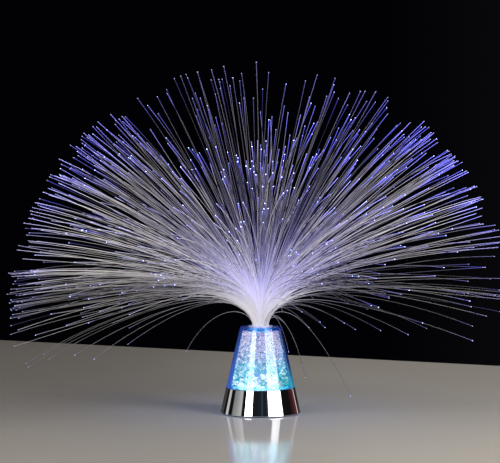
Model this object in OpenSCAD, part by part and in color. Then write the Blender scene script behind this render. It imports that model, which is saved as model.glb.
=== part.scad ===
// Fiber optic lamp: battery base with a chrome skirt, a clear cone full of
// acrylic crystals, and a plug-in spray of optical fibers.
// Millimetres, +Z up, origin at the centre of the footprint on the table.

/* [Base] */
// Radius of the chrome skirt at its lower edge
base_r = 38.3; // [37.8:0.1:39.5]
// Thickness of the chrome skirt's wall
base_wall = 1.8; // [1.4:0.1:2]
// Height of the foot pads under the skirt's lower edge
foot_gap = 0.9; // [0.7:0.1:1]

/* [Cone] */
// Radius of the clear cone at its flat top
cone_top_r = 19.2; // [18.6:0.1:21]
// Height of the cone's flat top above the table
cone_top_z = 82.5; // [80:0.5:90]
// Radius of the crystal cavity at its floor
cavity_r = 29.8; // [28:0.1:30.2]
// Radius of the crystal cavity under the top plate
cavity_top_r = 17.7; // [17.2:0.1:18]
// Thickness of the cone's top plate
top_plate = 2.8; // [2:0.1:4]

/* [Socket and plug] */
// Outer radius of the light tube in the middle of the cone
tube_r = 12; // [11.5:0.1:12.2]
// Outer radius of the plug that holds the fiber bundle
plug_r = 8.7; // [8.4:0.1:8.7]
// Radial running clearance of the plug and of the socket bush
running = 0.06; // [0.04:0.01:0.08]

/* [Fiber spray] */
// Number of strands in the spray
strand_count = 240; // [120:20:240]
// Thickness of one strand
strand_d = 0.5; // [0.35:0.05:0.5]
// Free length of a strand, from the bundle to its tip
strand_len = 250; // [180:1:260]
// Angle from upright that the outermost strands open to
spread = 91; // [60:1:95]
// Length along a strand in which most of its bend happens
bend_len = 28; // [22:1:40]
// Extra droop of a level strand under its own weight, in degrees
droop = 16; // [10:1:26]

/* [Battery bay] */
// Radius of one cell
cell_r = 5.2; // [5:0.05:5.25]
// Length of one cell without its button
cell_len = 43.5; // [43:0.1:43.6]
// Distance between cells
cell_pitch = 10.9; // [10.7:0.1:10.9]

/* [Switch] */
// Travel of the slide switch between off and on
switch_travel = 3; // [2:0.5:3]

/* [Hidden] */
$fn = 96;

base_z = foot_gap;
joint_z = 25;
slope = (base_r - cone_top_r) / (cone_top_z - base_z);
function r_out(z) = base_r - slope * (z - base_z);
cavity_top_z = cone_top_z - top_plate;
function r_cav(z) = cavity_r - (cavity_r - cavity_top_r) * (z - joint_z) / (cavity_top_z - joint_z);
function rnd(i, k) = let (x = sin(i * 97.31 + k * 57.17) * 4375.8545) x - floor(x);

cover_z = 1.2;
cover_t = 2;
shelf_z = 15.8;
board_z = 17.4;
board_t = 1.6;
board_top = board_z + board_t;
lens_z = 22.6;
lens_t = 2;
bay_x = 26.6;
bay_y = 16.6;
bay_top = 15.4;
cell_z = cover_z + cover_t + 0.3 + cell_r;
hinge_x = -25.7;
hinge_z = cover_z + cover_t / 2;
boss_xy = 22.3;
deck_r = 29;
deck_angles = [65, 115, 245, 295];
switch_y = 24;
bush_out = tube_r - 2 - running;
bush_in = plug_r + running;
core_r = plug_r - 0.8;
core_top = cone_top_z - 0.5;
pad_places = [[30.1, 10.9], [30.1, -10.9], [-30.1, 10.9], [-30.1, -10.9], [0, 32], [0, -32]];

chrome = [0.80, 0.81, 0.83];
black = [0.06, 0.06, 0.07];
white = [0.90, 0.90, 0.88];
clear = [0.45, 0.68, 0.98, 0.45];
ice = [0.62, 0.90, 0.97, 0.8];
steel = [0.72, 0.72, 0.70];
fiber = [0.80, 0.79, 0.92];

module ring(r0, r1, h, z = 0) {
    translate([0, 0, z]) difference() {
        cylinder(r = r1, h = h);
        translate([0, 0, -1]) cylinder(r = r0, h = h + 2);
    }
}

module block(lo, hi) {
    translate(lo) cube(hi - lo);
}

module screw(head_r, head_h, shank_r, shank_l) {
    // head at the bottom, shank pointing up, with a crossed recess
    difference() {
        union() {
            cylinder(r = head_r, h = head_h, $fn = 32);
            cylinder(r = shank_r, h = head_h + shank_l, $fn = 32);
        }
        for (a = [0, 90]) rotate([0, 0, a])
            translate([-head_r * 0.6, -0.25, -0.1]) cube([head_r * 1.2, 0.5, 0.1 + head_h * 0.6]);
    }
}

// ---- base ----

module foot_pads() {
    color([0.16, 0.16, 0.17])
        for (p = pad_places) translate([p[0], p[1], 0]) rotate_extrude($fn = 48)
            polygon([[0, 0], [2.2, 0], [2.45, 0.25], [2.45, cover_z + 0.35], [0, cover_z + 0.35]]);
}

module base_shell() {
    rt = r_out(joint_z);
    color(chrome) difference() {
        union() {
            rotate_extrude($fn = 128) polygon([
                [base_r - base_wall, base_z], [base_r - 0.5, base_z], [base_r - 0.12, base_z + 0.14],
                [base_r - slope * 0.5, base_z + 0.5], [rt + slope * 0.4, joint_z - 0.4],
                [rt - 0.1, joint_z - 0.1], [rt - 0.35, joint_z], [rt - base_wall, joint_z],
                [r_out(board_z) - base_wall, board_z], [26.8, board_z], [26.8, shelf_z],
                [r_out(shelf_z) - base_wall, shelf_z]]);
            for (x = [-1, 1], y = [-1, 1])
                translate([x * boss_xy, y * boss_xy, cover_z + cover_t + 0.1])
                    cylinder(r = 2.8, h = shelf_z - cover_z - cover_t + 0.4, $fn = 48);
        }
        for (x = [-1, 1], y = [-1, 1])
            translate([x * boss_xy, y * boss_xy, 0]) cylinder(r = 1.2, h = 14, $fn = 32);
        for (a = deck_angles) rotate([0, 0, a]) translate([deck_r, 0, shelf_z - 1])
            cylinder(r = 1.1, h = 4, $fn = 32);
        // notches that let the battery leads up past the shelf
        for (s = [-1, 1]) translate([s * 28.6, s * cell_pitch, shelf_z - 1]) cylinder(r = 1.4, h = 4, $fn = 32);
    }
}

module bottom_cover() {
    color(black) difference() {
        union() {
            translate([0, 0, cover_z]) cylinder(r = 35.6, h = cover_t, $fn = 128);
            // walls and roof of the battery bay
            intersection() {
                block([-bay_x - 1, -bay_y - 1.2, cover_z + 0.5], [bay_x + 1, bay_y + 1.2, bay_top]);
                cylinder(r = 32.3, h = 30);
            }
            // raised pocket for the switch knob
            block([-8, switch_y - 5, cover_z + 0.5], [8, switch_y + 5, cover_z + cover_t + 1.6]);
        }
        // bay, and the opening that the door closes
        difference() {
            block([-bay_x, -bay_y, cover_z + cover_t - 0.01], [bay_x, bay_y, bay_top - 1.2]);
            for (y = [-0.5, 0.5]) block([-20, y * cell_pitch - 0.4, bay_top - 3], [20, y * cell_pitch + 0.4, bay_top]);
        }
        block([-27.1, -bay_y, 0], [bay_x, bay_y, cover_z + cover_t]);
        for (s = [-1, 1]) translate([hinge_x, s * 16.5, hinge_z]) rotate([-90 * s, 0, 0])
            cylinder(r = 0.66, h = 1.1, $fn = 24);
        // slits for the two solder tabs
        block([bay_x - 1, cell_pitch - 1.4, 10.9], [bay_x + 3, cell_pitch + 1.4, 11.5]);
        block([-bay_x - 3, -cell_pitch - 1.4, 10.9], [-bay_x + 1, -cell_pitch + 1.4, 11.5]);
        // switch pocket and the slot in its floor
        block([-7, switch_y - 3.9, 0], [7, switch_y + 3.9, cover_z + cover_t + 0.2]);
        block([-3.2, switch_y - 1.1, 0], [3.2, switch_y + 1.1, 10]);
        for (x = [-1, 1], y = [-1, 1]) translate([x * boss_xy, y * boss_xy, 0]) {
            cylinder(r = 1.35, h = 10, $fn = 32);
            cylinder(r = 2.6, h = cover_z + 1, $fn = 32);
        }
        for (p = pad_places) translate([p[0], p[1], 0]) cylinder(r = 2.55, h = cover_z + 0.4, $fn = 48);
    }
}

module cover_screws() {
    color(steel) for (x = [-1, 1], y = [-1, 1])
        translate([x * boss_xy, y * boss_xy, cover_z + 0.1]) screw(2.3, 0.9, 1.1, 9.5);
}

module battery_door() {
    color([0.09, 0.09, 0.1]) difference() {
        union() {
            block([hinge_x, -bay_y + 0.25, cover_z], [bay_x - 0.3, bay_y - 0.25, cover_z + cover_t]);
            translate([hinge_x, -bay_y + 0.25, hinge_z]) rotate([-90, 0, 0])
                cylinder(r = cover_t / 2, h = 2 * bay_y - 0.5, $fn = 32);
            translate([hinge_x, -bay_y - 0.7, hinge_z]) rotate([-90, 0, 0])
                cylinder(r = 0.6, h = 2 * bay_y + 1.4, $fn = 24);
        }
        // thumb dimple and grip grooves at the end that opens
        translate([20, 0, cover_z - 0.1]) cylinder(r = 5, h = 0.9, $fn = 48);
        for (x = [8, 10, 12]) block([x, -5, cover_z - 0.1], [x + 0.8, 5, cover_z + 0.5]);
    }
}

module cell(dir) {
    scale([dir, 1, 1]) translate([bay_x - 0.6 - 1 - cell_len, 0, cell_z]) rotate([0, 90, 0]) rotate_extrude($fn = 64)
        polygon([[0, 0], [cell_r - 0.3, 0], [cell_r, 0.3], [cell_r, cell_len - 0.3], [cell_r - 0.3, cell_len],
            [1.9, cell_len], [1.9, cell_len + 0.8], [1.6, cell_len + 1], [0, cell_len + 1]]);
}

module battery_1() { color([0.20, 0.36, 0.30]) translate([0, -cell_pitch, 0]) cell(1); }
module battery_2() { color([0.20, 0.36, 0.30]) rotate([0, 0, 180]) cell(1); }
module battery_3() { color([0.20, 0.36, 0.30]) translate([0, cell_pitch, 0]) cell(1); }

// cone-shaped coil spring, wound along +X from its wide foot
spring_turns = 4.5;
spring_rings = 45;
spring_sides = 5;
module coil_spring(len, r0, r1, wire) {
    pts = [for (i = [0 : spring_rings], j = [0 : spring_sides - 1])
        let (u = i / spring_rings, a = 360 * spring_turns * u, b = 360 * j / spring_sides,
            r = r0 + (r1 - r0) * u + wire * cos(b),
            x = wire + (len - 2 * wire) * min(1, max(0, (u - 0.1) / 0.8)) + wire * sin(b))
        [x, r * cos(a), r * sin(a)]];
    n = spring_sides;
    last = spring_rings * n;
    polyhedron(points = pts, faces = concat(
        [[for (j = [0 : n - 1]) j]],
        [[for (j = [0 : n - 1]) last + n - 1 - j]],
        [for (i = [0 : spring_rings - 1], j = [0 : n - 1])
            [i * n + j, (i + 1) * n + j, (i + 1) * n + (j + 1) % n, i * n + (j + 1) % n]]));
}

module contact_springs() {
    gap = 2 * bay_x - 1 - 0.6 - cell_len - 1;
    color(steel) {
        for (y = [-1, 1]) translate([-bay_x + 0.55, y * cell_pitch, cell_z]) coil_spring(gap + 0.4, 3.7, 2.4, 0.35);
        rotate([0, 0, 180]) translate([-bay_x + 0.55, 0, cell_z]) coil_spring(gap + 0.4, 3.7, 2.4, 0.35);
    }
}

module contact_plates() {
    z0 = cell_z - 4;
    z1 = cell_z + 4;
    color([0.85, 0.80, 0.62]) {
        // single plates at the pack's two terminals, each with a tab out of the bay
        block([bay_x - 0.5, cell_pitch - 4, z0], [bay_x - 0.1, cell_pitch + 4, z1]);
        block([bay_x - 0.1, cell_pitch - 1.2, 11], [bay_x + 2.8, cell_pitch + 1.2, 11.4]);
        block([-bay_x + 0.1, -cell_pitch - 4, z0], [-bay_x + 0.5, -cell_pitch + 4, z1]);
        block([-bay_x - 2.8, -cell_pitch - 1.2, 11], [-bay_x + 0.1, -cell_pitch + 1.2, 11.4]);
        // long plates that join two cells
        block([bay_x - 0.5, -cell_pitch - 4, z0], [bay_x - 0.1, 4, z1]);
        block([-bay_x + 0.1, -4, z0], [-bay_x + 0.5, cell_pitch + 4, z1]);
    }
}

module battery_leads() {
    color([0.70, 0.10, 0.08]) for (s = [-1, 1])
        translate([s * 28.6, s * cell_pitch, 11.4]) cylinder(r = 0.65, h = board_z - 11.4, $fn = 24);
}

// ---- switch ----

module switch_body() {
    color([0.62, 0.63, 0.64]) difference() {
        union() {
            block([-4.8, switch_y - 2.3, cover_z + cover_t + 1.6], [4.8, switch_y + 2.3, 9.3]);
            block([-6.8, switch_y - 1.4, cover_z + cover_t + 1.6], [6.8, switch_y + 1.4, cover_z + cover_t + 2]);
        }
        block([-2.95, switch_y - 0.95, 4], [2.95, switch_y + 0.95, 6.2]);
    }
}

module switch_slider() {
    s = switch_travel / 2;
    color([0.08, 0.08, 0.09]) difference() {
        union() {
            block([s - 1.3, switch_y - 0.8, cover_z + 1], [s + 1.3, switch_y + 0.8, 6.1]);
            block([s - 2, switch_y - 1.6, cover_z + 0.3], [s + 2, switch_y + 1.6, cover_z + 1.5]);
        }
        for (x = [-1.1, 0, 1.1]) block([s + x - 0.2, switch_y - 2, cover_z], [s + x + 0.2, switch_y + 2, cover_z + 0.6]);
    }
}

module switch_leads() {
    color([0.10, 0.10, 0.12]) for (x = [-2.6, 2.6])
        translate([x, switch_y, 9.3]) cylinder(r = 0.6, h = board_z - 9.3, $fn = 24);
}

// ---- light deck ----

module led_board() {
    color([0.10, 0.35, 0.20]) difference() {
        translate([0, 0, board_z]) cylinder(r = 31.4, h = board_t, $fn = 128);
        for (a = deck_angles) rotate([0, 0, a]) translate([deck_r, 0, board_z - 1]) cylinder(r = 1.1, h = 4, $fn = 32);
    }
}

module deck_screws() {
    color(steel) for (a = deck_angles) rotate([0, 0, a]) translate([deck_r, 0, shelf_z - 1.2]) screw(1.9, 1.2, 0.92, 8);
}

module center_led() {
    color([0.85, 0.92, 1.0, 0.7]) translate([0, 0, board_top]) rotate_extrude($fn = 64)
        polygon(concat([[0, 0], [4.6, 0], [4.6, 1], [4, 1], [4, 4.4]],
            [for (a = [10 : 10 : 90]) [4 * cos(a), 4.4 + 3.6 * sin(a)]]));
}

module crystal_leds() {
    for (i = [0 : 5]) rotate([0, 0, 60 * i]) translate([19.5, 0, board_top]) color([0.93, 0.93, 0.88]) difference() {
        translate([-2.5, -2.5, 0]) cube([5, 5, 1.6]);
        translate([0, 0, 1.2]) cylinder(r = 2, h = 1, $fn = 32);
    }
}

module controller_chip() {
    color([0.07, 0.07, 0.08]) translate([0, -22.2, board_top]) {
        difference() {
            translate([-2.5, -1.95, 0.15]) cube([5, 3.9, 1.5]);
            translate([-1.7, 1.1, 1.4]) cylinder(r = 0.4, h = 1, $fn = 24);
        }
        for (x = [-1.9, -0.63, 0.63, 1.9], s = [-1, 1])
            translate([x - 0.2, s > 0 ? 1.9 : -2.9, 0]) cube([0.4, 1, 0.5]);
    }
}

module board_resistors() {
    color([0.12, 0.12, 0.13]) for (x = [-4.6, 4.6], y = [-24, -21])
        translate([x - 0.6, y, board_top]) cube([1.2, 2.2, 0.6]);
}

module floor_lens() {
    color([0.85, 0.93, 1.0, 0.5]) ring(tube_r + 0.1, 26.9, lens_t, lens_z);
}

// ---- clear cone ----

module crystal_cone() {
    ro = r_out(cone_top_z);
    color(clear) difference() {
        rotate_extrude($fn = 128) polygon([
            [27, board_top], [30.6, board_top], [30.6, joint_z], [r_out(joint_z) - 0.35, joint_z],
            [r_out(joint_z + 0.3), joint_z + 0.3], [r_out(cone_top_z - 1.2), cone_top_z - 1.2],
            [ro - 0.02, cone_top_z - 0.6], [ro - 0.3, cone_top_z - 0.2], [ro - 0.9, cone_top_z],
            [tube_r + 0.08, cone_top_z], [tube_r + 0.08, cavity_top_z], [cavity_top_r - 0.8, cavity_top_z],
            [cavity_top_r - 0.2, cavity_top_z - 0.25], [r_cav(cavity_top_z - 1), cavity_top_z - 1],
            [cavity_r, joint_z], [27, joint_z - 0.2]]);
        for (a = deck_angles) rotate([0, 0, a]) translate([deck_r, 0, board_top - 1]) cylinder(r = 1, h = 6.2, $fn = 32);
    }
}

module light_tube() {
    color([0.80, 0.90, 1.0, 0.5]) rotate_extrude($fn = 128) polygon([
        [tube_r - 2, board_top], [tube_r, board_top], [tube_r, cone_top_z - 0.2], [tube_r - 0.2, cone_top_z],
        [tube_r - 2, cone_top_z], [tube_r - 2, 26], [8.6, 26], [8.6, 24], [tube_r - 2, 24]]);
}

// ---- crystals: loose acrylic chips, smaller towards the top ----

chip_layers = 9;
function chip_rho(k) = 3.4 - 0.11 * k;
function chip_z(k) = k == 0 ? lens_z + lens_t + chip_rho(0) + 0.1 : chip_z(k - 1) + chip_rho(k - 1) + chip_rho(k) + 0.1;

module chip(rho, i) {
    sides = 5 + floor(rnd(i, 1) * 3);
    r = rho * (0.80 + 0.06 * rnd(i, 2));
    h = 2 * sqrt(rho * rho - r * r) * 0.98;
    rotate([360 * rnd(i, 3), 360 * rnd(i, 4), 360 * rnd(i, 5)])
        translate([0, 0, -h / 2]) cylinder(r = r, h = h, $fn = sides);
}

module chip_ring(r, z, rho, seed) {
    n = floor(180 / asin((rho + 0.04) / r));
    for (j = [0 : n - 1]) rotate([0, 0, 360 * j / n + 40 * rnd(seed, 7)]) translate([r, 0, z]) chip(rho, seed + j);
}

module chip_layer(k) {
    rho = chip_rho(k);
    z = chip_z(k);
    lo = tube_r + rho + 0.15;
    hi = r_cav(z + rho) - rho - 0.2;
    if (hi - lo >= 2 * rho + 0.1) {
        chip_ring(lo, z, rho, 100 * k);
        chip_ring(hi, z, rho, 100 * k + 50);
    } else {
        chip_ring((lo + hi) / 2, z, rho, 100 * k);
    }
}

module crystals_lower() { color(ice) for (k = [0 : 1]) chip_layer(k); }
module crystals_middle() { color(ice) for (k = [2 : 4]) chip_layer(k); }
module crystals_upper() { color(ice) for (k = [5 : chip_layers - 1]) chip_layer(k); }

// ---- socket and plug ----

module socket_bush() {
    color([0.88, 0.93, 1.0, 0.8]) rotate_extrude($fn = 96) polygon([
        [6.6, 26.05], [bush_out, 26.05], [bush_out, cone_top_z + 0.1], [tube_r - 0.8, cone_top_z + 0.1],
        [tube_r - 0.6, cone_top_z + 0.3], [tube_r - 1, cone_top_z + 0.8], [bush_in, cone_top_z + 0.8],
        [bush_in, 28], [6.6, 28]]);
}

module spray_plug() {
    color([0.90, 0.90, 0.95]) rotate_extrude($fn = 96) polygon([
        [core_r + 0.05, 28.05], [plug_r - 0.3, 28.05], [plug_r, 28.6], [plug_r, cone_top_z + 0.7],
        [plug_r - 0.25, cone_top_z + 1], [core_r + 0.05, cone_top_z + 1]]);
}

module fiber_bundle() {
    color(fiber) translate([0, 0, 28.3]) cylinder(r = core_r, h = core_top - 28.3, $fn = 96);
}

// ---- strands ----

strand_steps = 10;
spiral = 137.508;
root_r = 6.7;
function along(k, len) = len * pow(k / strand_steps, 1.55);
// angle from upright at a distance along a strand
function lean(s, open, bend, sag, len) =
    open * (1 - exp(-s / bend)) + sag * sin(min(90, open + 5)) * pow(s / len, 1.4);
function path(k, open, bend, sag, len) = k == 0 ? [[0, 0]] :
    let (before = path(k - 1, open, bend, sag, len), p = before[k - 1],
        s0 = along(k - 1, len), s1 = along(k, len), a = lean((s0 + s1) / 2, open, bend, sag, len))
    concat(before, [[p[0] + (s1 - s0) * sin(a), p[1] + (s1 - s0) * cos(a)]]);

// one strand: a strip as thick as it is wide that bends in an upright plane through the lamp's axis
module strand(r, az, open, bend, sag, len) {
    pts = path(strand_steps, open, bend, sag, len);
    h = strand_d / 2;
    side = [for (k = [0 : strand_steps]) let (a = lean(along(k, len), open, bend, sag, len))
        [pts[k][0] + h * cos(a), pts[k][1] - h * sin(a)]];
    back = [for (k = [strand_steps : -1 : 0]) let (a = lean(along(k, len), open, bend, sag, len))
        [pts[k][0] - h * cos(a), pts[k][1] + h * sin(a)]];
    rotate([0, 0, az]) translate([r, h, core_top]) rotate([90, 0, 0])
        linear_extrude(height = strand_d) polygon(concat(side, back));
}

// strands at the front stand a little higher than those at the sides
function front(az) = let (d = az - 270 - 360 * round((az - 270) / 360)) exp(-d * d / 1444);
module strands(from, to) {
    color(fiber) for (i = [from : to]) {
        t = sqrt((i + 0.5) / strand_count);
        open = spread * pow(t, 0.92) * (1 - 0.14 * front(spiral * i) * max(0, min(1, t * 1.6 - 0.5)));
        strand(root_r * t, spiral * i, open, bend_len, droop, strand_len * (1 - 0.07 * rnd(i, 9) * rnd(i, 8)));
    }
}

group_ends = [for (u = [0, 0.1, 0.3, 0.55, 0.8, 1]) floor(u * strand_count)];
module strands_core() strands(group_ends[0], group_ends[1] - 1);
module strands_inner() strands(group_ends[1], group_ends[2] - 1);
module strands_middle() strands(group_ends[2], group_ends[3] - 1);
module strands_outer() strands(group_ends[3], group_ends[4] - 1);
module strands_skirt() strands(group_ends[4], group_ends[5] - 1);

// loose strands that have flopped over the rim: azimuth, opening angle, bend length, sag, free length.
// They lean out sooner and further than the others, so they pass outside them all the way.
stray_r = 7.3;
strays = [[294.7, 156, 29, 9, 75], [310.3, 154, 22.4, 10, 79], [303.4, 151, 26, 8, 101],
    [316.6, 136, 28.4, 11, 145], [194.8, 143, 29, 15, 88], [179.3, 105, 28.9, 15, 133],
    [204.4, 103, 29, 22, 185], [172.6, 99, 27.7, 25, 244], [185.8, 93, 24.1, 15, 244],
    [34.8, 100, 28.2, 14, 209], [3.5, 94, 28.8, 18, 212], [284.1, 92, 28.4, 5, 159],
    [156.9, 114, 29, 12, 152]];
module stray_strands() {
    color(fiber) for (s = strays) strand(stray_r, s[0], s[1], s[2], s[3], s[4]);
}

foot_pads();
bottom_cover();
cover_screws();
battery_door();
battery_1();
battery_2();
battery_3();
contact_springs();
contact_plates();
switch_body();
switch_slider();
base_shell();
led_board();
deck_screws();
center_led();
crystal_leds();
controller_chip();
board_resistors();
battery_leads();
switch_leads();
floor_lens();
crystal_cone();
light_tube();
crystals_lower();
crystals_middle();
crystals_upper();
socket_bush();
spray_plug();
fiber_bundle();
strands_core();
strands_inner();
strands_middle();
strands_outer();
strands_skirt();
stray_strands();
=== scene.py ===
import math

import bmesh
import bpy
import numpy as np
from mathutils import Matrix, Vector


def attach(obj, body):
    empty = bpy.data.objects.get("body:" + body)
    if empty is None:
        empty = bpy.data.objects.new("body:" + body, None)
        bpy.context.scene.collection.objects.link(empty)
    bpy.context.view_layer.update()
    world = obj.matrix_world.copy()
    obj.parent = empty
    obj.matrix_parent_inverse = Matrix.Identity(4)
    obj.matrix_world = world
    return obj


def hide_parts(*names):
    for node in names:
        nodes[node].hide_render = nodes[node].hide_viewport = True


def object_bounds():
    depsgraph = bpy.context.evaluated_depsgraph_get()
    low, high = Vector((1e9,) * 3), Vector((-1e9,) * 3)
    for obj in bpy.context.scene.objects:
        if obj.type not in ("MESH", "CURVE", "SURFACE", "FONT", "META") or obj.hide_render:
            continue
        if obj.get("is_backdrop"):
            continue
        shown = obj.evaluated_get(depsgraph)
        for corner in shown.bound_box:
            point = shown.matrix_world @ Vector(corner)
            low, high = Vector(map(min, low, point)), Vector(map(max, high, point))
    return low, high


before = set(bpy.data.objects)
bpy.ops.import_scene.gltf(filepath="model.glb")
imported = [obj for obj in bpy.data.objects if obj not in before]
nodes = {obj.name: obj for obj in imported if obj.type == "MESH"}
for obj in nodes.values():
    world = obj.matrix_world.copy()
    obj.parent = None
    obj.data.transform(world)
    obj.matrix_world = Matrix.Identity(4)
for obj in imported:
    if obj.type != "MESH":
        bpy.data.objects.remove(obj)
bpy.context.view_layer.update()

scene = bpy.context.scene
MM = 0.001

# ---------------------------------------------------------------- camera

ELEV = math.radians(4.3)
DIST = 3.5
WIDE = 0.472  # metres across the picture at the lamp's axis
AIM = Vector((-0.0100, 0.0, 0.1725))

cam_data = bpy.data.cameras.new("camera")
cam = bpy.data.objects.new("camera", cam_data)
scene.collection.objects.link(cam)
cam_data.sensor_width = 36.0
cam_data.lens = 36.0 * DIST / WIDE
cam_data.clip_start = 0.05
cam_data.clip_end = 30
cam.location = AIM + Vector((0, -math.cos(ELEV), math.sin(ELEV))) * DIST
cam.rotation_euler = (math.pi / 2 - ELEV, 0, 0)
scene.camera = cam


# ---------------------------------------------------------------- node helpers

class Graph:
    """A material's node tree, with short calls for the nodes used here."""

    def __init__(self, name):
        self.m = bpy.data.materials.new(name)
        self.m.use_nodes = True
        self.t = self.m.node_tree
        self.t.nodes.clear()
        self.out = self.t.nodes.new("ShaderNodeOutputMaterial")
        self.p = self.t.nodes.new("ShaderNodeBsdfPrincipled")
        self.link(self.p.outputs[0], self.out.inputs["Surface"])

    def new(self, kind, **props):
        n = self.t.nodes.new(kind)
        for k, v in props.items():
            setattr(n, k, v)
        return n

    def link(self, a, b):
        self.t.links.new(a, b)

    def feed(self, value, socket):
        if hasattr(value, "is_linked") or isinstance(value, bpy.types.NodeSocket):
            self.link(value, socket)
        else:
            socket.default_value = value

    def set(self, **values):
        for k, v in values.items():
            name = k.replace("_", " ").title().replace("Ior", "IOR")
            s = self.p.inputs[name]
            if isinstance(v, bpy.types.NodeSocket):
                self.link(v, s)
            elif isinstance(v, tuple) and len(v) == 3 and s.type == "RGBA":
                s.default_value = (*v, 1)
            else:
                s.default_value = v

    def math(self, op, a, b=0.0, c=0.0, clamp=False):
        n = self.new("ShaderNodeMath", operation=op, use_clamp=clamp)
        for v, s in zip((a, b, c), n.inputs):
            self.feed(v, s)
        return n.outputs[0]

    def coords(self):
        return self.new("ShaderNodeTexCoord").outputs["Object"]

    def xyz(self, v):
        n = self.new("ShaderNodeSeparateXYZ")
        self.link(v, n.inputs[0])
        return n.outputs

    def length(self, v):
        n = self.new("ShaderNodeVectorMath", operation="LENGTH")
        self.link(v, n.inputs[0])
        return n.outputs["Value"]

    def attr(self, name):
        return self.new("ShaderNodeAttribute", attribute_name=name).outputs["Fac"]

    def noise(self, scale, detail=3.0, rough=0.55, vec=None, distortion=0.0):
        n = self.new("ShaderNodeTexNoise")
        self.link(vec or self.coords(), n.inputs["Vector"])
        n.inputs["Scale"].default_value = scale
        n.inputs["Detail"].default_value = detail
        n.inputs["Roughness"].default_value = rough
        n.inputs["Distortion"].default_value = distortion
        return n.outputs["Fac"]

    def voronoi(self, scale, vec=None, feature="F1", out="Distance"):
        n = self.new("ShaderNodeTexVoronoi", feature=feature)
        self.link(vec or self.coords(), n.inputs["Vector"])
        n.inputs["Scale"].default_value = scale
        return n.outputs[out]

    def stretched(self, x, y, z):
        n = self.new("ShaderNodeMapping")
        self.link(self.coords(), n.inputs["Vector"])
        n.inputs["Scale"].default_value = (x, y, z)
        return n.outputs[0]

    def span(self, v, a, b, lo, hi, smooth=False):
        n = self.new("ShaderNodeMapRange", clamp=True)
        if smooth:
            n.interpolation_type = "SMOOTHSTEP"
        self.link(v, n.inputs["Value"])
        for k, x in (("From Min", a), ("From Max", b), ("To Min", lo), ("To Max", hi)):
            n.inputs[k].default_value = x
        return n.outputs["Result"]

    def mix(self, f, a, b, blend="MIX"):
        n = self.new("ShaderNodeMix", data_type="RGBA", blend_type=blend)
        self.feed(f, n.inputs["Factor"])
        for v, s in ((a, n.inputs[6]), (b, n.inputs[7])):
            if isinstance(v, tuple):
                s.default_value = (*v[:3], 1)
            else:
                self.link(v, s)
        return n.outputs[2]

    def ramp(self, f, stops, mode="LINEAR"):
        n = self.new("ShaderNodeValToRGB")
        n.color_ramp.interpolation = mode
        e = n.color_ramp.elements
        while len(e) > 1:
            e.remove(e[-1])
        e[0].position, e[0].color = stops[0][0], (*stops[0][1], 1)
        for p, c in stops[1:]:
            x = e.new(p)
            x.color = (*c, 1)
        self.link(f, n.inputs[0])
        return n.outputs[0]

    def ramp_value(self, f, stops, k):
        """A curve from straight pieces, times k."""
        return self.math("MULTIPLY", self.ramp(f, [(x, (v, v, v)) for x, v in stops]), k)

    def bump(self, height, strength, distance):
        n = self.new("ShaderNodeBump")
        n.inputs["Strength"].default_value = strength
        n.inputs["Distance"].default_value = distance
        self.link(height, n.inputs["Height"])
        self.link(n.outputs[0], self.p.inputs["Normal"])

    def scaled(self, color, k):
        n = self.new("ShaderNodeVectorMath", operation="SCALE")
        self.feed(color, n.inputs[0])
        self.feed(k, n.inputs["Scale"])
        return n.outputs[0]

    def added(self, a, b):
        n = self.new("ShaderNodeVectorMath", operation="ADD")
        self.feed(a, n.inputs[0])
        self.feed(b, n.inputs[1])
        return n.outputs[0]


def shade(c, k):
    return tuple(min(1.0, x * k) for x in c)


def moulded(name, color, rough, grain=1800.0, depth=0.00002, vary=0.18, **more):
    """Moulded plastic: fine surface grain, faint flow colour and handling gloss."""
    g = Graph(name)
    cloud = g.noise(60, 4)
    fine = g.noise(grain, 2)
    g.set(base_color=g.mix(g.span(cloud, 0.3, 0.7, 0, 1), shade(color, 1 - vary), shade(color, 1 + vary)),
          roughness=g.span(g.noise(140, 5, 0.6), 0.3, 0.7, rough * 0.82, min(1, rough * 1.18)), **more)
    g.bump(fine, 0.35, depth)
    return g.m


def metal(name, color, rough, scratch=(30, 30, 900), vary=0.12, depth=0.000008):
    g = Graph(name)
    lines = g.noise(1.0, 4, 0.6, vec=g.stretched(*scratch))
    g.set(base_color=g.mix(g.span(lines, 0.3, 0.7, 0, 1), shade(color, 1 - vary), shade(color, 1 + vary)),
          metallic=1.0, roughness=g.span(g.noise(220, 4), 0.3, 0.7, rough * 0.7, rough * 1.4))
    g.bump(lines, 0.3, depth)
    return g.m


def dress(node, material):
    slots = nodes[node].material_slots
    for s in slots:
        s.material = material
    if not len(slots):
        nodes[node].data.materials.append(material)


# ---------------------------------------------------------------- materials of the carried-over nodes

def chrome():
    g = Graph("mirror_chrome")
    haze = g.noise(38, 5, 0.6)
    wipe = g.noise(1.0, 3, 0.6, vec=g.stretched(90, 90, 520))
    z = g.xyz(g.coords())[2]
    edge = g.math("ADD", g.span(z, 0.0009, 0.0021, 1, 0), g.span(z, 0.0238, 0.0249, 0, 1), clamp=True)
    base = g.mix(g.span(haze, 0.35, 0.7, 0, 1), (0.90, 0.905, 0.915), (0.80, 0.81, 0.83))
    g.set(base_color=g.mix(g.math("MULTIPLY", edge, 0.35), base, (0.62, 0.62, 0.64)), metallic=1.0,
          roughness=g.math("ADD", g.span(haze, 0.3, 0.75, 0.022, 0.05), g.math("MULTIPLY", edge, 0.05)))
    g.bump(wipe, 0.012, 0.00001)
    return g.m


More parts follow.
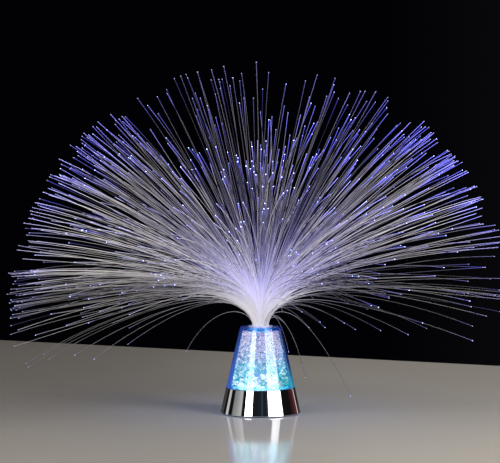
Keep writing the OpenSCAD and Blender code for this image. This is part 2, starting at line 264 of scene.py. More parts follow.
def clear_shell():
    """Thick clear acrylic. The real wall carries the lamp's blue light round it; here that blue glow is painted on as
    emission by height, with painted violet on the left side and painted teal low on the right side.
    """
    g = Graph("clear_acrylic")
    x, y, z = g.xyz(g.coords())
    smear = g.noise(55, 4, 0.6)
    tint = g.mix(g.span(z, 0.022, 0.084, 0, 1, smooth=True), (0.94, 0.98, 1.0), (0.96, 0.97, 1.0))
    # painted blue glow by height, strongest at the bottom, with a little more at the rim
    glow = g.ramp(g.span(z, 0.022, 0.0825, 0, 1), [
        (0.0, (0.02, 0.26, 0.55)), (0.05, (0.002, 0.085, 0.34)), (0.5, (0.001, 0.050, 0.26)),
        (0.92, (0.001, 0.030, 0.20)), (0.985, (0.002, 0.045, 0.26)), (1.0, (0.002, 0.030, 0.20))])
    # painted glow by side: violet on the left flank, fading towards the top; teal low on the right flank
    across = g.math("DIVIDE", x, g.math("SUBTRACT", 0.0381, g.math("MULTIPLY", z, 0.23)))
    violet = g.math("MULTIPLY", g.span(across, -0.76, -0.95, 0, 1, smooth=True), g.span(z, 0.040, 0.080, 1.05, 0.25))
    teal = g.math("MULTIPLY", g.span(across, 0.76, 0.93, 0, 1.15, smooth=True), g.span(z, 0.026, 0.052, 1, 0, smooth=True))
    glow = g.added(glow, g.added(g.scaled((0.13, 0.13, 0.54), violet), g.scaled((0.01, 0.42, 0.30), teal)))
    g.set(base_color=tint, transmission_weight=1.0, ior=1.49, emission_color=glow, emission_strength=0.19,
          coat_weight=0.5, coat_roughness=0.03, roughness=g.span(smear, 0.35, 0.75, 0.030, 0.060))
    g.bump(g.noise(24, 2), 0.02, 0.0003)
    inside = g.new("ShaderNodeVolumeAbsorption")
    inside.inputs["Color"].default_value = (0.0, 0.76, 0.95, 1)
    inside.inputs["Density"].default_value = 300.0
    g.link(inside.outputs[0], g.out.inputs["Volume"])
    return g.m


# Clear acrylic part with a painted glow: its emission stands in for the LED light that passes through it.
def clear_part(name, tint, glow, strength, rough=0.05):
    g = Graph(name)
    g.set(base_color=tint, transmission_weight=1.0, ior=1.49, emission_strength=strength,
          emission_color=g.mix(g.noise(80, 3), shade(glow, 0.75), glow),
          roughness=g.span(g.noise(120, 3), 0.3, 0.7, rough * 0.6, rough * 1.6))
    return g.m


def glowing(name, base, glow, strength, rough=0.3, scale=150):
    g = Graph(name)
    n = g.span(g.noise(scale, 3), 0.3, 0.7, 0, 1)
    g.set(base_color=g.mix(n, shade(base, 0.9), base), roughness=g.span(g.noise(scale * 2, 2), 0.3, 0.7, rough * 0.8, rough * 1.2),
          emission_color=g.mix(n, shade(glow, 0.8), glow), emission_strength=strength)
    return g.m


def cell_wrap(flip):
    """Shrink-sleeved cell: dark sleeve, bare steel at both ends, one pale ring near the button."""
    g = Graph("cell_sleeve_" + ("a" if flip > 0 else "b"))
    x = g.math("MULTIPLY", g.xyz(g.coords())[0], float(flip))
    sleeve = g.ramp(g.span(x, -0.0185, 0.026, 0, 1), [
        (0.0, (0.72, 0.72, 0.70)), (0.012, (0.05, 0.09, 0.08)), (0.66, (0.05, 0.10, 0.085)),
        (0.665, (0.62, 0.60, 0.52)), (0.70, (0.62, 0.60, 0.52)), (0.705, (0.10, 0.22, 0.18)),
        (0.955, (0.10, 0.22, 0.18)), (0.962, (0.74, 0.74, 0.72))], "CONSTANT")
    bare = g.math("ADD", g.span(x, -0.0180, -0.01795, 1, 0), g.span(x, 0.0243, 0.02435, 0, 1), clamp=True)
    g.set(base_color=g.mix(g.math("MULTIPLY", g.noise(400, 3), 0.25), sleeve, (0.5, 0.5, 0.5)), metallic=bare,
          roughness=g.span(g.noise(300, 3), 0.3, 0.7, 0.22, 0.34))
    g.bump(g.noise(700, 2), 0.08, 0.00002)
    return g.m


def board():
    """Green solder mask over copper tracks."""
    g = Graph("circuit_board")
    v = g.stretched(1, 1, 0.001)
    tracks = g.voronoi(230, vec=v, feature="DISTANCE_TO_EDGE")
    line = g.span(tracks, 0.03, 0.06, 1, 0)
    mask = g.mix(g.math("MULTIPLY", line, 0.8), (0.018, 0.16, 0.07), (0.06, 0.33, 0.13))
    g.set(base_color=g.mix(g.math("MULTIPLY", g.noise(900, 2), 0.2), mask, (0.02, 0.1, 0.05)),
          roughness=g.span(g.noise(500, 2), 0.3, 0.7, 0.25, 0.38))
    g.bump(line, 0.2, 0.00004)
    return g.m


steel = metal("zinc_steel", (0.66, 0.66, 0.64), 0.28)
dress("base_shell", chrome())
dress("crystal_cone", clear_shell())
dress("light_tube", clear_part("tube_acrylic", (0.90, 0.93, 1.0), (0.50, 0.52, 0.80), 0.08))
dress("floor_lens", clear_part("lens_acrylic", (0.85, 0.96, 1.0), (0.1, 0.55, 0.8), 0.5, 0.12))
dress("socket_bush", clear_part("bush_acrylic", (0.88, 0.91, 1.0), (0.42, 0.46, 0.85), 0.12, 0.10))
# painted glow: the spray plug and the fibre bundle's ends are no lamps; their emission stands in for the LED light
# that reaches them
dress("spray_plug", glowing("plug_plastic", (0.82, 0.82, 0.90), (0.45, 0.48, 1.0), 0.20))
dress("fiber_bundle", glowing("bundle_ends", (0.85, 0.83, 0.95), (0.72, 0.68, 1.0), 0.9, 0.25, 1500))
dress("foot_pads", moulded("foot_rubber", (0.045, 0.045, 0.048), 0.85, 900, 0.00004))
dress("bottom_cover", moulded("textured_black", (0.030, 0.030, 0.033), 0.55, 2600, 0.00004))
dress("battery_door", moulded("door_black", (0.036, 0.036, 0.040), 0.5, 2600, 0.00004))
dress("switch_slider", moulded("knob_black", (0.028, 0.028, 0.03), 0.42, 2200))
dress("cover_screws", steel)
dress("deck_screws", steel)
dress("switch_body", metal("switch_tin", (0.62, 0.63, 0.64), 0.3, (700, 20, 20)))
dress("contact_springs", metal("spring_wire", (0.74, 0.74, 0.72), 0.18, (500, 500, 500)))
dress("contact_plates", metal("plated_sheet", (0.80, 0.74, 0.55), 0.26, (20, 600, 600)))
for node, flip in (("battery_1", 1), ("battery_2", -1), ("battery_3", 1)):
    dress(node, cell_wrap(flip))
dress("led_board", board())
dress("center_led", glowing("led_dome", (0.85, 0.88, 1.0), (0.62, 0.64, 1.0), 2.5, 0.1))
dress("crystal_leds", glowing("led_packages", (0.9, 0.9, 0.85), (0.15, 0.65, 0.95), 4.0, 0.35, 700))
dress("controller_chip", moulded("chip_epoxy", (0.02, 0.02, 0.022), 0.6, 3000))
dress("board_resistors", moulded("resistor_film", (0.025, 0.025, 0.03), 0.4, 4000))
dress("battery_leads", moulded("lead_red", (0.45, 0.03, 0.02), 0.35, 1500))
dress("switch_leads", moulded("lead_black", (0.02, 0.02, 0.024), 0.35, 1500))


# ---------------------------------------------------------------- fibers

rng = np.random.default_rng(20)
Z_ROOT = 82.0
GOLDEN = 137.508
FIBER_R = 0.25
RINGS = 22
SIDES = 5
FULL = 250.0


def unit(v):
    return v / np.linalg.norm(v, axis=-1, keepdims=True)


def dirs(theta, az):
    t, a = np.radians(theta), np.radians(az)
    return np.stack([np.sin(t) * np.cos(a), np.sin(t) * np.sin(a), np.cos(t)], -1)


def angles(d):
    return (np.degrees(np.arccos(np.clip(d[:, 2], -1, 1))), np.degrees(np.arctan2(d[:, 1], d[:, 0])))


def make_spray(n):
    """Each fiber's opening angle and azimuth, and the clump leader it follows."""
    i = np.arange(n)
    t = np.sqrt((i + 0.5) / n)
    theta = 93 * t ** 0.79 + rng.normal(0, 2.2, n)
    theta = theta - 6.5 * np.exp(-((theta - 62) / 14) ** 2)
    az = GOLDEN * i + rng.normal(0, 5, n)
    # fibers that lean towards the viewer stand a little higher than those at the sides
    near = np.exp(-(((az - 270 + 180) % 360 - 180) / 38) ** 2)
    theta = theta * (1 - 0.20 * near * np.clip(t * 1.6 - 0.5, 0, 1))
    d = dirs(theta, az)
    # loose clumps: each fiber is drawn part of the way to its nearest leader
    leaders = d[rng.choice(n, 150, replace=False)]
    follow = np.argmax(d @ leaders.T, axis=1)
    nearest = leaders[follow]
    d = unit(d + (nearest - d) * rng.uniform(0.0, 0.78, n)[:, None])
    # a thin place left of the middle
    alpha = np.degrees(np.arctan2(d[:, 0], d[:, 2]))
    inside = (alpha > -27) & (alpha < -19) & (theta < 70) & (rng.random(n) < 0.72)
    to = np.where(alpha < -23, -28 - rng.uniform(0, 3, n), -18 + rng.uniform(0, 3, n))
    turn = np.radians(np.where(inside, (to - alpha) * 0.85, 0))
    x = d[:, 0] * np.cos(turn) + d[:, 2] * np.sin(turn)
    z = -d[:, 0] * np.sin(turn) + d[:, 2] * np.cos(turn)
    d = np.stack([x, d[:, 1], z], -1)
    theta, az = angles(d)
    return theta, az, follow


def paths(theta, az, bend, droop, length, root_r, root_az, curl, side):
    """Points, tangents and side vectors of every fiber, one row each."""
    n = len(theta)
    fine = 90
    u = np.linspace(0, 1, fine) ** 1.35
    s = u[None, :] * length[:, None]
    sag = droop * np.sin(np.radians(np.minimum(90, theta + 5)))
    frac = u[None, :]
    lean = (theta[:, None] * (1 - np.exp(-s / bend[:, None])) + sag[:, None] * frac ** 1.4
            + curl[:, None] * np.sin(np.pi * frac))
    turn = np.clip(s / 30, 0, 1)
    turn = turn * turn * (3 - 2 * turn)
    dphi = (az - root_az + 180) % 360 - 180
    phi = root_az[:, None] + dphi[:, None] * turn + side[:, None] * frac ** 1.3
    t = dirs(lean, phi)
    ds = np.diff(s, axis=1)
    mid = unit((t[:, 1:] + t[:, :-1]) / 2)
    p = np.zeros((n, fine, 3))
    p[:, 0, 0] = root_r * np.cos(np.radians(root_az))
    p[:, 0, 1] = root_r * np.sin(np.radians(root_az))
    p[:, 0, 2] = Z_ROOT
    p[:, 1:] = p[:, :1] + np.cumsum(mid * ds[..., None], axis=1)
    b = np.stack([-np.sin(np.radians(phi)), np.cos(np.radians(phi)), np.zeros_like(phi)], -1)
    pick = np.unique(np.round(np.linspace(0, 1, RINGS) ** 1.15 * (fine - 1)).astype(int))
    return p[:, pick], t[:, pick], b[:, pick], s[:, pick]


def fiber_piece(name, p, t, b, s, theta, painted_light_per_fiber, radius, mats, spark, shift=0.0):
    """One mesh of many fibers, each a five-sided tube with a slightly flared, cut end."""
    n, k, _ = p.shape
    # two more rings at the tip for the flare
    tip = p[:, -1:] + t[:, -1:] * 0.7
    tip2 = p[:, -1:] + t[:, -1:] * 1.1
    p = np.concatenate([p, tip, tip2], 1)
    t = np.concatenate([t, t[:, -1:], t[:, -1:]], 1)
    b = np.concatenate([b, b[:, -1:], b[:, -1:]], 1)
    s = np.concatenate([s, s[:, -1:] + 0.7, s[:, -1:] + 1.1], 1)
    k += 2
    rad = np.repeat(radius[:, None], k, 1)
    rad[:, -2] *= 1.55
    rad[:, -1] *= 1.4
    nrm = np.cross(t, b)
    ang = 2 * np.pi * np.arange(SIDES) / SIDES
    ring = (b[:, :, None] * np.cos(ang)[None, None, :, None] + nrm[:, :, None] * np.sin(ang)[None, None, :, None])
    co = (p[:, :, None] + ring * rad[:, :, None, None]) * MM
    verts = co.reshape(-1, 3)
    idx = np.arange(n * k * SIDES).reshape(n, k, SIDES)
    nxt = np.roll(idx, -1, axis=2)
    quads = np.stack([idx[:, :-1], nxt[:, :-1], nxt[:, 1:], idx[:, 1:]], -1).reshape(-1, 4)
    caps = idx[:, -1]
    loops = np.concatenate([quads.ravel(), caps.ravel()])
    starts = np.concatenate([np.arange(len(quads)) * 4, len(quads) * 4 + np.arange(n) * SIDES])
    me = bpy.data.meshes.new(name)
    me.vertices.add(len(verts))
    me.vertices.foreach_set("co", verts.ravel())
    me.loops.add(len(loops))
    me.loops.foreach_set("vertex_index", loops.astype(np.int32))
    me.polygons.add(len(starts))
    me.polygons.foreach_set("loop_start", starts.astype(np.int32))
    body = np.zeros((n, k - 1, SIDES))
    body[:, -2:] = 1
    which = np.concatenate([body.ravel(), np.full(n, 2)]).astype(np.int32)
    for m in mats:
        me.materials.append(m)
    me.polygons.foreach_set("material_index", which)
    me.polygons.foreach_set("use_smooth", (which < 2))
    me.update(calc_edges=True)
    # along the fiber upwards, one column for each fiber
    col = np.arange(n)[:, None, None] / n
    j = np.arange(SIDES)[None, None, :]
    u0 = col + (0.12 + 0.76 * j / SIDES) / n
    u1 = col + (0.12 + 0.76 * (j + 1) / SIDES) / n
    v = (s / s[:, -1:])[:, :, None] * 0.97 + 0.003
    shape = (n, k - 1, SIDES)
    quad_uv = np.stack([
        np.stack([np.broadcast_to(u0, shape), np.broadcast_to(v[:, :-1], shape)], -1),
        np.stack([np.broadcast_to(u1, shape), np.broadcast_to(v[:, :-1], shape)], -1),
        np.stack([np.broadcast_to(u1, shape), np.broadcast_to(v[:, 1:], shape)], -1),
        np.stack([np.broadcast_to(u0, shape), np.broadcast_to(v[:, 1:], shape)], -1)], -2)
    a = 2 * np.pi * np.arange(SIDES) / SIDES
    cap_uv = np.stack([np.arange(n)[:, None] / n + (0.5 + 0.36 * np.cos(a)[None, :]) / n,
                       np.broadcast_to(0.987 + 0.010 * np.sin(a)[None, :], (n, SIDES))], -1)
    uv = me.uv_layers.new(name="OFBake")
    uv.data.foreach_set("uv", np.concatenate([quad_uv.reshape(-1), cap_uv.reshape(-1)]).astype(np.float32))
    for key, val in (("dist", s + shift), ("along", s / s[:, -1:]),
                     ("polar", np.repeat(theta[:, None], k, 1)), ("painted_fiber_light", np.repeat(painted_light_per_fiber[:, None], k, 1)), ("spark", np.repeat(spark[:, None], k, 1))):
        at = me.attributes.new(key, "FLOAT", "POINT")
        at.data.foreach_set("value", np.repeat(val[:, :, None], SIDES, 2).ravel().astype(np.float32))
    me.validate()
    o = bpy.data.objects.new(name, me)
    scene.collection.objects.link(o)
    return o


def fiber_material():
    g = Graph("optical_fiber")
    dist, along, polar, painted_fiber_light = (g.attr(a) for a in ("dist", "along", "polar", "painted_fiber_light"))
    # painted light and shade: the base colour is set by opening angle, dark for steep upper fibres and brightest for
    # fibres near level, for how the lights fall on them
    lit = g.ramp(g.span(polar, 0, 100, 0, 1), [(0.0, (0.18,) * 3), (0.34, (0.17,) * 3), (0.5, (0.52,) * 3),
                                               (0.60, (1.0,) * 3), (0.76, (1.0,) * 3), (0.86, (0.66,) * 3), (1.0, (0.54,) * 3)])
    blue = g.span(polar, 55, 88, 1, 0, smooth=True)
    # painted glow near the root, fading along the fibre: the real fibres leak the LED light, here painted as
    # emission; weaker on the right side for outer fibres, a painted shade
    root = g.math("POWER", 2.718, g.math("MULTIPLY", g.math("POWER", g.math("DIVIDE", dist, 74.0), 2.2), -1.0))
    side = g.span(g.xyz(g.coords())[0], 0.012, 0.07, 0, 1, smooth=True)
    root = g.math("MULTIPLY", root, g.math("SUBTRACT", 1.0, g.math("MULTIPLY", side, g.span(polar, 55, 85, 0.0, 0.5, smooth=True))))
    # painted violet glow along the fibres, rising over the first millimetres and fading towards the tips
    wide = g.math("MULTIPLY", g.math("POWER", 2.718, g.math("DIVIDE", dist, -62.0)), g.span(dist, 8, 66, 0.26, 1.0, smooth=True))
    # painted light and shade: each fibre's base colour runs from near black to near white with its painted light
    # share
    grey = g.mix(g.span(painted_fiber_light, 0.10, 0.76, 0, 1, smooth=True), (0.055, 0.054, 0.052), (0.99, 0.965, 0.92))
    lit = g.mix(g.span(along, 0.10, 0.42, 0.35, 1.0), (0.8, 0.8, 0.8), lit)
    grey = g.mix(1.0, grey, lit, blend="MULTIPLY")
    # painted shade: outer fibres are darker on the right side, and a little darker on the left side
    right = g.span(g.xyz(g.coords())[0], -0.01, 0.08, 0, 1, smooth=True)
    grey = g.scaled(grey, g.math("SUBTRACT", 1.0, g.math("MULTIPLY", right, g.span(polar, 60, 82, 0.0, 0.62, smooth=True))))
    left = g.span(g.xyz(g.coords())[0], 0.0, -0.08, 0, 1, smooth=True)
    grey = g.scaled(grey, g.math("SUBTRACT", 1.0, g.math("MULTIPLY", left, g.span(polar, 66, 84, 0.0, 0.20, smooth=True))))
    grey = g.mix(g.span(dist, 22, 95, 0.85, 0.0, smooth=True), grey, (0.58, 0.57, 0.59))
    g.set(base_color=grey, roughness=g.span(g.noise(900, 2), 0.3, 0.7, 0.20, 0.36), ior=1.49)
    # the emission is also scaled by each fibre's painted light share
    own = g.span(painted_fiber_light, 0, 1, 0.42, 1.40)
    even = g.mix(g.span(dist, 30, 105, 0.92, 0.0, smooth=True), g.scaled((1.0, 1.0, 1.0), own), (0.96, 0.96, 0.96))
    rise = g.span(blue, 0, 1, 0.15, 1.0)
    # painted violet glow: stronger on the right side, weaker for steep fibres
    wide = g.math("MULTIPLY", wide, g.math("MULTIPLY", g.span(right, 0, 1, 1.0, 1.4), g.span(polar, 18, 46, 0.68, 1.0, smooth=True)))
    # painted glow at the fibre tips, by opening angle and each fibre's painted light share, stronger on the right
    # side
    ends = g.ramp_value(g.span(polar, 0, 100, 0, 1), [(0.0, 0.3), (0.28, 0.5), (0.40, 1.35), (0.58, 1.4), (0.70, 0.55), (0.88, 0.14)], 1.0)
    tip = g.math("MULTIPLY", g.span(along, 0.84, 1.0, 0, 1, smooth=True), g.math("MULTIPLY", ends, own))
    tip = g.math("MULTIPLY", tip, g.span(right, 0, 1, 1.0, 1.9))
    light = g.added(g.scaled(g.mix(1.0, even, (0.375, 0.362, 0.34), blend="MULTIPLY"), root),
                    g.scaled((0.12, 0.110, 0.78), g.math("MULTIPLY", g.math("MULTIPLY", wide, rise), 1.05)))
    light = g.added(light, g.scaled((0.06, 0.06, 0.68), g.math("MULTIPLY", tip, 1.0)))
    g.set(emission_color=light, emission_strength=1.0)
    return g.m


# painted glow at the fibre ends: the real cut ends give out the LED light; here it is painted as emission, scaled by
# each fibre's spark and by opening angle
def tip_material(name, low, high):
    g = Graph(name)
    spark, polar = g.attr("spark"), g.attr("polar")
    power = g.math("MULTIPLY", g.math("POWER", spark, 1.8), g.ramp_value(g.span(polar, 0, 100, 0, 1), [
        (0.0, 0.45), (0.36, 0.6), (0.42, 1.0), (0.62, 1.0), (0.9, 0.35)], high))
    g.set(base_color=(0.5, 0.52, 0.8), roughness=0.3,
          emission_color=g.scaled((0.30, 0.36, 1.0), g.math("ADD", power, low)), emission_strength=1.0)
    return g.m


fiber_mats = [fiber_material(), tip_material("fiber_last_mm", 0.16, 0.8), tip_material("fiber_cut_face", 1.0, 19.0)]
N = 960
theta, az, follow = make_spray(N)
# a small bunch towards the viewer, and a thinner right side
bunch = rng.choice(N, 30, replace=False)
theta[bunch], az[bunch] = rng.uniform(43, 56, 30), 269 + rng.normal(0, 6.5, 30)
in_bunch = np.isin(np.arange(N), bunch)
right = (np.abs((az + 180) % 360 - 180) < 55) & (theta > 71) & (rng.random(N) < 0.74)
# and a thinner crown
back = np.abs((az - 90 + 180) % 360 - 180) < 50
right |= ~in_bunch & (rng.random(N) < np.where(theta < 40, 0.22, np.where(back & (theta < 64), 0.38, 0.0)))
theta, az, follow, in_bunch = theta[~right], az[~right], follow[~right], in_bunch[~right]
N = len(theta)
length = FULL * (1 - 0.06 * rng.random(N) * rng.random(N)) * np.where(rng.random(N) < 0.05, rng.uniform(0.82, 0.96, N), 1)
bend = 28 + rng.normal(0, 1.3, N)
droop = np.clip(rng.normal(14, 4.0, N), 4, 22)
curl = rng.normal(0, 3.0, N)
side = rng.normal(0, 4.2, N) / np.sin(np.radians(np.clip(theta, 25, 90)))
root_r = 7.2 * np.clip((theta / 93) ** 1.05, 0, 1.0)
root_az = az + rng.normal(0, 7, N)
order = np.argsort(theta)
P, T, B, S = paths(theta, az, bend, droop, length, root_r, root_az, curl, side)
# painted light and shade: each fibre and each clump gets its own random share of light, for how clumps catch the
# light and shade each other
painted_fiber_light = np.clip(0.60 * rng.random(N) + 0.55 * rng.random(150)[follow] - 0.075, 0, 1)
spark = rng.random(N)
# the bunch gets a low painted light share and bright tips
painted_fiber_light[in_bunch], spark[in_bunch] = 0.18, rng.uniform(0.85, 1.0, int(in_bunch.sum()))
radius = FIBER_R * rng.uniform(0.88, 1.04, N)

groups = [("core", 0.0, 0.1), ("inner", 0.1, 0.3), ("middle", 0.3, 0.55), ("outer", 0.55, 0.8), ("skirt", 0.8, 1.0)]
for label, a, b in groups:
    k = order[int(a * N):int(b * N)]
    o = fiber_piece("fibers_" + label, P[k], T[k], B[k], S[k], theta[k], painted_fiber_light[k], radius[k], fiber_mats, spark[k])
    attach(o, "spray")
    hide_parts("strands_" + label)

# loose fibers over the rim: azimuth, opening angle, bend length, sag, free length
strays = np.array([[294.7, 156, 29, 9, 75], [310.3, 154, 22.4, 10, 79], [303.4, 151, 26, 8, 101],
                   [316.6, 136, 28.4, 11, 145], [194.8, 143, 29, 15, 88], [179.3, 105, 28.9, 15, 133],
                   [204.4, 103, 29, 22, 185], [172.6, 99, 27.7, 25, 244], [185.8, 93, 24.1, 15, 244],
                   [34.8, 100, 28.2, 14, 209], [3.5, 94, 28.8, 18, 212], [284.1, 92, 28.4, 5, 159],
                   [156.9, 114, 29, 12, 152]], float)
short = [[168.5, 100, 28, 22, 228], [181, 101, 28, 22, 216], [190, 99, 28, 24, 238], [198.5, 101, 28, 20, 196], [301, 113, 29, 10, 92], [306, 108, 30, 9, 99], [311, 112, 28, 8, 96], [317, 106, 30, 9, 112],
         [322, 108, 29, 9, 118], [329, 104, 30, 12, 138], [335, 101, 29, 14, 160]]
strays = np.vstack([strays, short])
m = len(strays)
P, T, B, S = paths(strays[:, 1], strays[:, 0], strays[:, 2], strays[:, 3], strays[:, 4],
                   np.full(m, 7.3), strays[:, 0], np.zeros(m), np.zeros(m))
# painted light: the shorter loose fibres get a smaller painted light share than the longer ones
o = fiber_piece("fibers_stray", P, T, B, S, strays[:, 1], np.where(strays[:, 4] < 105, 0.30, 0.50) * rng.uniform(0.75, 1.15, m), np.full(m, FIBER_R * 0.80), fiber_mats,
                rng.uniform(0.7, 1.0, m), 45.0)
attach(o, "spray")
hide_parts("stray_strands")


# ---------------------------------------------------------------- crystals

def chip_templates(count):
    made = []
    for _ in range(count):
        bm = bmesh.new()
        q = rng.normal(0, 1, (int(rng.integers(8, 13)), 3))
        q = unit(q) * rng.uniform(0.86, 1.0, (len(q), 1)) * np.array([1.0, rng.uniform(0.75, 1.0), rng.uniform(0.55, 0.95)])
        vs = [bm.verts.new(c) for c in q]
        r = bmesh.ops.convex_hull(bm, input=vs)
        loose = [v for v in bm.verts if not v.link_faces]
        bmesh.ops.delete(bm, geom=loose, context="VERTS")
        bmesh.ops.dissolve_limit(bm, angle_limit=math.radians(9), verts=bm.verts, edges=bm.edges)
        bmesh.ops.triangulate(bm, faces=bm.faces)
        bmesh.ops.recalc_face_normals(bm, faces=bm.faces)
        bm.verts.index_update()
        made.append((np.array([v.co[:] for v in bm.verts]), np.array([[v.index for v in f.verts] for f in bm.faces])))
        bm.free()
    return made


def spin(k):
    q = unit(rng.normal(0, 1, (k, 4)))
    w, x, y, z = q.T
    return np.stack([
        np.stack([1 - 2 * (y * y + z * z), 2 * (x * y - z * w), 2 * (x * z + y * w)], -1),
        np.stack([2 * (x * y + z * w), 1 - 2 * (x * x + z * z), 2 * (y * z - x * w)], -1),
        np.stack([2 * (x * z - y * w), 2 * (y * z + x * w), 1 - 2 * (x * x + y * y)], -1)], -2)


def cavity(z):
    return 29.8 - (29.8 - 17.7) * (z - 25) / (79.7 - 25)


def pack_chips(lo, hi, rad_lo, rad_hi, tries):
    """Centres and radii of chips that fill the ring between tube and cone, fullest against the cone."""
    kept = np.zeros((0, 4))
    rads = np.sort(rng.uniform(rad_lo, rad_hi, tries))[::-1]
    for r in rads:
        z = rng.uniform(lo + r, hi - r * 0.2)
        z = min(z, 79.4 - r)
        outer = min(cavity(z), cavity(z + r)) - r - 0.25
        inner = 12.2 + r
        if outer < inner:
            continue
        c = outer - (outer - inner) * rng.random() ** 1.7
        a = rng.uniform(0, 2 * np.pi)
        q = np.array([c * np.cos(a), c * np.sin(a), z])
        if len(kept):
            gap = np.linalg.norm(kept[:, :3] - q, axis=1) - 0.73 * (kept[:, 3] + r)
            if gap.min() < 0:
                continue
        kept = np.vstack([kept, [*q, r]])
    return kept


def chips_piece(name, centres, templates, material, own):
    vs, fs, painted_glint, hue = [], [], [], []
    base = 0
    rot = spin(len(centres))
    for c, R in zip(centres, rot):
        tv, tf = templates[int(rng.integers(len(templates)))]
        vs.append(tv @ R.T * c[3] + c[:3])
        fs.append(tf + base)
        base += len(tv)
        # painted glint: each chip and each facet gets its own emission strength, for facets that catch the light
        chip = rng.random()
        painted_glint.append(np.clip(0.55 * chip + 0.45 * rng.random(len(tf)) + rng.normal(0, 0.12, len(tf)), 0, 1))
        hue.append(np.clip(own * rng.random() + (1 - own) * rng.random(len(tf)), 0, 1))
    v = np.concatenate(vs) * MM
    f = np.concatenate(fs)
    me = bpy.data.meshes.new(name)
    me.from_pydata(v.tolist(), [], f.tolist())
    me.materials.append(material)
    for key, val in (("painted_glint", painted_glint), ("hue", hue)):
        at = me.attributes.new(key, "FLOAT", "CORNER")
        at.data.foreach_set("value", np.repeat(np.concatenate(val), 3).astype(np.float32))
    me.validate()
    o = bpy.data.objects.new(name, me)
    scene.collection.objects.link(o)
    return o


def chip_material():
    """Crushed clear acrylic with a painted glow: the LEDs light the real chips from below; here that light is painted
    as emission, ice lavender above, teal below, green low on one side.
    """
    g = Graph("crystal_chips")
    x, y, z = g.xyz(g.coords())
    painted_glint, hue = g.attr("painted_glint"), g.attr("hue")
    wob = g.math("MULTIPLY", g.math("SUBTRACT", g.noise(70, 3), 0.5), 0.020)
    zz = g.math("ADD", z, wob)
    h = g.span(zz, 0.026, 0.080, 0, 1)
    deep = g.ramp(h, [(0.0, (0.03, 0.40, 0.40)), (0.35, (0.05, 0.38, 0.48)), (0.55, (0.20, 0.33, 0.50)), (1.0, (0.33, 0.33, 0.50))])
    mid = g.ramp(h, [(0.0, (0.16, 0.72, 0.70)), (0.35, (0.20, 0.62, 0.76)), (0.55, (0.45, 0.55, 0.82)), (1.0, (0.66, 0.62, 0.88))])
    pale = g.mix(g.span(h, 0.3, 0.6, 0, 1), (0.90, 1.0, 0.98), (1.0, 0.96, 1.0))
    colour = g.mix(g.span(hue, 0.15, 0.5, 0, 1, smooth=True), deep, mid)
    share = g.span(h, 0.02, 0.28, 0.40, 0.02)
    colour = g.mix(g.span(g.math("ADD", hue, share), 0.58, 0.80, 0, 1, smooth=True), colour, pale)
    # painted glow: green low down on the +x side
    low = g.span(zz, 0.028, 0.043, 1, 0, smooth=True)
    green = g.math("MULTIPLY", low, g.span(x, 0.013, 0.023, 0, 0.85, smooth=True))
    colour = g.mix(green, colour, (0.0, 0.30, 0.22))
    colour = g.mix(1.0, colour, (1.50, 0.84, 0.75), blend="MULTIPLY")
    # painted glow strength: each facet's painted glint, stronger low down and weaker near the top
    power = g.math("MULTIPLY", g.span(painted_glint, 0.0, 1.0, 0.42, 2.25), g.math("MULTIPLY", g.span(low, 0, 1, 0.80, 1.12), g.span(h, 0.5, 1.0, 1.0, 0.86)))
    g.set(base_color=g.scaled(colour, 0.30), roughness=g.span(g.noise(400, 2), 0.3, 0.7, 0.06, 0.18), ior=1.49,
          emission_color=g.scaled(colour, power), emission_strength=0.95)
    g.bump(g.noise(1100, 2), 0.15, 0.00005)
    return g.m


chips = chip_templates(28)
chip_mat = chip_material()
for label, lo, hi, r0, r1, tries, own in (("lower", 24.8, 38.6, 1.5, 4.2, 14000, 0.7), ("middle", 38.6, 57.4, 1.0, 2.1, 26000, 0.5),
                                          ("upper", 57.4, 79.5, 0.85, 1.6, 26000, 0.4)):
    o = chips_piece("crystal_chips_" + label, pack_chips(lo, hi, r0, r1, tries), chips, chip_mat, own)
    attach(o, "base")
    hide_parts("crystals_" + label)


# ---------------------------------------------------------------- table

